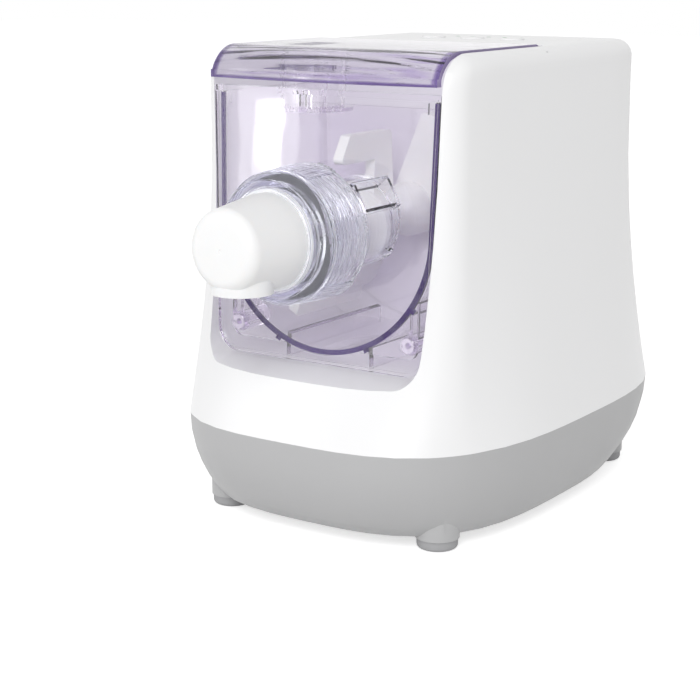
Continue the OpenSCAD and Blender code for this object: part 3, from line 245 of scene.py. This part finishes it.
def clear(name, colour, rough=0.03, shadow=None, wave=0.00005, wave_scale=45.0, ior=1.49,
          takes=None, through=1.0, rim=None, flow_and_painted_streaks=None, knurl=None):
    """See-through moulded plastic with slightly uneven walls.

    wave      height of the unevenness, and wave_scale how fine it is
    shadow    what a surface leaves of the light that lamps send through it
    takes     what a millimetre takes from red, green and blue, so that an edge that is seen
              along the wall comes out deeper
    through   the part that is clear; the rest is haze
    rim       a deeper colour for the thick edges, and side_x and lip_z of rim_mask
    flow_and_painted_streaks   height of the flow waves, the top below which they lie, and the colour of the painted dark streaks, which stand in for streaky reflections
    knurl     axis_z and radius of knurl_height
    """
    mat, nt, out = new_material(name)
    p = node(nt, "ShaderNodeBsdfPrincipled", {"IOR": ior, "Transmission Weight": through})

    if flow_and_painted_streaks:
        flow_rise, top, dark = flow_and_painted_streaks
        # the lid's tone gets painted dark streaks, which stand in for streaky reflections on its
        # curved front
        tone = painted_streak_tone(nt, top, dark, colour)
    else:
        tone = blend(nt, noise(nt, CLEAR_TONE_FINE, 2.0),
                     scaled(colour, 0.985), scaled(colour, 1.01))
    if rim:
        deep, *edges = rim
        tone = blend(nt, rim_mask(nt, *edges), tone, deep)
    nt.links.new(tone, p.inputs["Base Color"])

    gloss = uneven(nt, CLEAR_GLOSS_FINE, max(0.0, rough - 0.01), rough + 0.015, detail=2.0)
    nt.links.new(gloss, p.inputs["Roughness"])

    normal = bump(nt, noise(nt, wave_scale, 1.5), wave, 0.5)
    if flow_and_painted_streaks:
        normal = bump(nt, flow_height(nt, top), flow_rise, 1.0, normal)
    if knurl:
        normal = bump(nt, knurl_height(nt, *knurl), KNURL_HEIGHT, 1.0, normal)
    nt.links.new(normal, p.inputs["Normal"])

    # lamps and soft light from around pass straight through
    leaves = shadow or scaled(colour, 0.97)
    straight = node(nt, "ShaderNodeBsdfTransparent", {"Color": (*leaves, 1)})
    light_path = nt.nodes.new("ShaderNodeLightPath")
    surface = p.outputs[0]
    for way in ("Is Shadow Ray", "Is Diffuse Ray"):
        mix = nt.nodes.new("ShaderNodeMixShader")
        for number, socket in enumerate((light_path.outputs[way], surface, straight.outputs[0])):
            nt.links.new(socket, mix.inputs[number])
        surface = mix.outputs[0]
    nt.links.new(surface, out["Surface"])

    if takes:
        most = max(takes)
        inside = node(nt, "ShaderNodeVolumeAbsorption", {
            "Color": (*(1 - part / most for part in takes), 1), "Density": most * MM_IN_METRE})
        nt.links.new(inside.outputs[0], out["Volume"])
    return mat


# ---------------------------------------------------------------- materials
lid_half_width, _, lid_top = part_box("lid")[1]
RIM_WIDTH = 0.0045
LIP_TOP = 0.2752
NUT_AXIS_Z = 0.1865
NUT_GRIP_R = 0.0412

LID_TAKES = (0.040, 0.046, 0.030)
GREY_SHADOW = (0.99, 0.99, 0.995)

# plastic: name, colour, roughness, height and fineness of the grain, variation of the tone
# metal: name, colour, roughness, stretch, fineness and height of the grain
# clear: name, colour, roughness, shadow, wave, its fineness, index of refraction
M = {
    "white_shell": plastic("white_shell_gloss", (0.93, 0.93, 0.935), 0.30, 0.000012, 700.0, 0.004),
    "grey_base": plastic("grey_base_satin", (0.50, 0.50, 0.505), 0.45, 0.00003, 1300.0, 0.03),
    "foot_rubber": plastic("foot_rubber", (0.42, 0.42, 0.43), 0.75, 0.00006, 1500.0, 0.08),
    "clear_panel": clear("clear_panel_plastic", (0.998, 0.997, 0.999), 0.015,
                         (0.997, 0.997, 0.998), takes=(0.0035, 0.0052, 0.0022)),
    "violet_pale": clear("pale_violet_plastic", (0.991, 0.987, 0.998), 0.02,
                         (0.992, 0.988, 0.998), ior=1.45,
                         takes=(0.0068, 0.0106, 0.0032), through=0.98),
    "violet_solid": plastic("violet_gasket", (0.045, 0.012, 0.15), 0.5, 0.00003, 900.0, 0.05,
                            specular=0.2),
    "blue_clear": clear("blue_grey_plastic", (0.992, 0.993, 1.0), 0.03, GREY_SHADOW,
                        0.00003, 90.0, 1.4, takes=(0.0055, 0.0048, 0.002)),
    "lid_clear": clear("lid_violet_plastic", (0.985, 0.975, 0.995), 0.02,
                       (0.988, 0.982, 0.992),
                       takes=LID_TAKES, through=0.96,
                       rim=((0.27, 0.19, 0.47), lid_half_width - RIM_WIDTH, LIP_TOP),
                       # flow waves, and painted dark streaks in the colour that stand in for
                       # streaky reflections
                       flow_and_painted_streaks=(0.0017, lid_top, (0.66, 0.56, 0.83))),
    "lid_side": clear("lid_violet_edge", (0.42, 0.33, 0.62), 0.3, (0.95, 0.93, 0.97),
                      takes=LID_TAKES, through=0.4),
    "clip_clear": clear("clip_violet_plastic", (0.95, 0.92, 0.98), 0.04, (0.99, 0.985, 0.993),
                        takes=(0.02, 0.03, 0.01), ior=1.3, through=0.75),
    "nut_clear": clear("haze_grey_plastic", (0.975, 0.978, 1.0), 0.03, GREY_SHADOW,
                       0.00003, 90.0, 1.33, takes=(0.0055, 0.0048, 0.0018), through=0.94,
                       knurl=(NUT_AXIS_Z, NUT_GRIP_R)),
    "lens_green": clear("lens_green", (0.35, 0.8, 0.45), 0.1),
    "milk_white": plastic("milk_white_plastic", (0.93, 0.93, 0.93), 0.42, 0.00002, 900.0, 0.015,
                          scatter=0.25),
    "steel": metal("bright_steel", (0.72, 0.73, 0.75), 0.28),
    "dark_steel": metal("laminated_steel", (0.33, 0.34, 0.36), 0.45, (1, 25, 1), 120.0),
    "cast_alloy": metal("cast_alloy", (0.62, 0.63, 0.65), 0.5, scale=700.0, grain=0.00006),
    "copper_wire": metal("enamelled_copper", (0.74, 0.40, 0.20), 0.3, (1, 30, 1), 200.0, 0.0002),
    "bronze": metal("sintered_bronze", (0.62, 0.47, 0.26), 0.5),
    "gear_plastic": plastic("natural_acetal", (0.78, 0.76, 0.68), 0.4, 0.00002, 900.0, 0.03),
    "black_plastic": plastic("black_plastic", (0.022, 0.022, 0.024), 0.38, 0.00004, 1200.0, 0.15),
    "board_green": plastic("circuit_board", (0.035, 0.16, 0.075), 0.35, 0.00003, 500.0, 0.15),
    "dark_parts": plastic("component_plastic", (0.04, 0.04, 0.05), 0.4, 0.00004, 1200.0, 0.15),
    "seal_rubber": plastic("seal_rubber", (0.05, 0.05, 0.055), 0.7, 0.00005, 1500.0, 0.1),
    "seal_white": plastic("seal_silicone", (0.75, 0.75, 0.76), 0.55, 0.00003, 1200.0, 0.03),
}
slots = {part["node"]: part["material_slot"] for part in frame["record"]["subparts"]}
# pieces of one plastic that differ in wall and depth of colour
slots.update(mixing_bowl="violet_pale", panel_screws="clip_clear", lid="lid_clear",
             locking_nut="nut_clear")

WELD_DISTANCE = 0.000004
CREASE_ANGLE = math.radians(30.0)


def soften(o):
    """Shade curved faces smooth, and keep sharp what is sharper than the crease angle."""
    for polygon in o.data.polygons:
        polygon.use_smooth = True
    weld = o.modifiers.new("weld", "WELD")
    weld.merge_threshold = WELD_DISTANCE
    creases = o.modifiers.new("creases", "EDGE_SPLIT")
    creases.split_angle = CREASE_ANGLE
    creases.use_edge_sharp = False


for name, o in nodes.items():
    o.data.materials.clear()
    o.data.materials.append(M[slots[name]])
    soften(o)

# the lid's cut side faces are duller than its polished skin
FACES_SIDE = 0.9
SIDE_SLACK = 0.0002
lid = nodes["lid"].data
lid.materials.append(M["lid_side"])
for polygon in lid.polygons:
    outermost = abs(polygon.center.x) > lid_half_width - SIDE_SLACK
    if outermost and abs(polygon.normal.x) > FACES_SIDE:
        polygon.material_index = 1

# ---------------------------------------------------------------- floor and world
FLOOR_HALF = 6.0
FLOOR_Z = -0.0002
FLOOR_SEEN = 0.62
WORLD_LIGHT, WORLD_SEEN = 0.57, 1.0


def seen(nt):
    """1 for what the camera sees, also off gloss and through clear plastic."""
    light_path = nt.nodes.new("ShaderNodeLightPath")
    direct = calc(nt, "MAXIMUM", light_path.outputs["Is Camera Ray"],
                  light_path.outputs["Is Glossy Ray"])
    return calc(nt, "MAXIMUM", direct, light_path.outputs["Is Transmission Ray"])


corners = [(-FLOOR_HALF, -FLOOR_HALF, 0), (FLOOR_HALF, -FLOOR_HALF, 0),
           (FLOOR_HALF, FLOOR_HALF, 0), (-FLOOR_HALF, FLOOR_HALF, 0)]
mesh = bpy.data.meshes.new("floor")
mesh.from_pydata(corners, [], [(0, 1, 2, 3)])
floor = bpy.data.objects.new("floor", mesh)
scene.collection.objects.link(floor)
floor.location.z = FLOOR_Z

mat, nt, out = new_material("floor_white")
diffuse = node(nt, "ShaderNodeBsdfDiffuse", {"Color": (0.8, 0.8, 0.8, 1)})
glow = node(nt, "ShaderNodeEmission", {"Color": (1, 1, 1, 1)})
strength = node(nt, "ShaderNodeMath", {1: FLOOR_SEEN}, operation="MULTIPLY")
nt.links.new(seen(nt), strength.inputs[0])
nt.links.new(strength.outputs[0], glow.inputs["Strength"])
both = nt.nodes.new("ShaderNodeAddShader")
nt.links.new(diffuse.outputs[0], both.inputs[0])
nt.links.new(glow.outputs[0], both.inputs[1])
nt.links.new(both.outputs[0], out["Surface"])
mesh.materials.append(mat)

world = bpy.data.worlds.new("studio")
scene.world = world
nt, out = new_tree(world, "ShaderNodeOutputWorld")
sky = node(nt, "ShaderNodeBackground", {"Color": (1, 1, 1, 1)})
nt.links.new(remap(nt, seen(nt), 0.0, 1.0, WORLD_LIGHT, WORLD_SEEN), sky.inputs["Strength"])
nt.links.new(sky.outputs[0], out.inputs["Surface"])


# ---------------------------------------------------------------- lamps
def lamp(name, at, towards, size, watts):
    data = bpy.data.lights.new(name, "AREA")
    data.shape = "RECTANGLE"
    data.size, data.size_y = size
    data.energy = watts
    o = bpy.data.objects.new(name, data)
    scene.collection.objects.link(o)
    o.location = at
    o.rotation_mode = "QUATERNION"
    o.rotation_quaternion = (Vector(towards) - Vector(at)).to_track_quat("-Z", "Y")
    o.visible_camera = False


MIDDLE = (0, 0, 0.14)
STRIP_AT, STRIP_TOWARDS = (-1.165, -1.61, 0.16), (0, -0.1, 0.245)
STRIPS = (((0.05, 0.13), 0.15), ((0.10, 0.20), 0.22), ((0.17, 0.28), 0.22))

lamp("key", (1.1, -2.1, 1.5), MIDDLE, (1.0, 1.4), 29.5)
lamp("fill", (-1.5, -1.6, 0.9), MIDDLE, (1.2, 1.2), 6)
# nested strips that show as a soft upright gleam in the clear front
for number, (size, watts) in enumerate(STRIPS):
    lamp("strip_%d" % number, STRIP_AT, STRIP_TOWARDS, size, watts)

# ---------------------------------------------------------------- picture
scene.view_settings.view_transform = "Standard"
# light passes many clear walls, one behind the other, before it reaches the paddle
MOST_WALLS, MOST_BOUNCES = 32, 28
scene.cycles.transparent_max_bounces = MOST_WALLS
scene.cycles.max_bounces = scene.cycles.transmission_bounces = MOST_BOUNCES
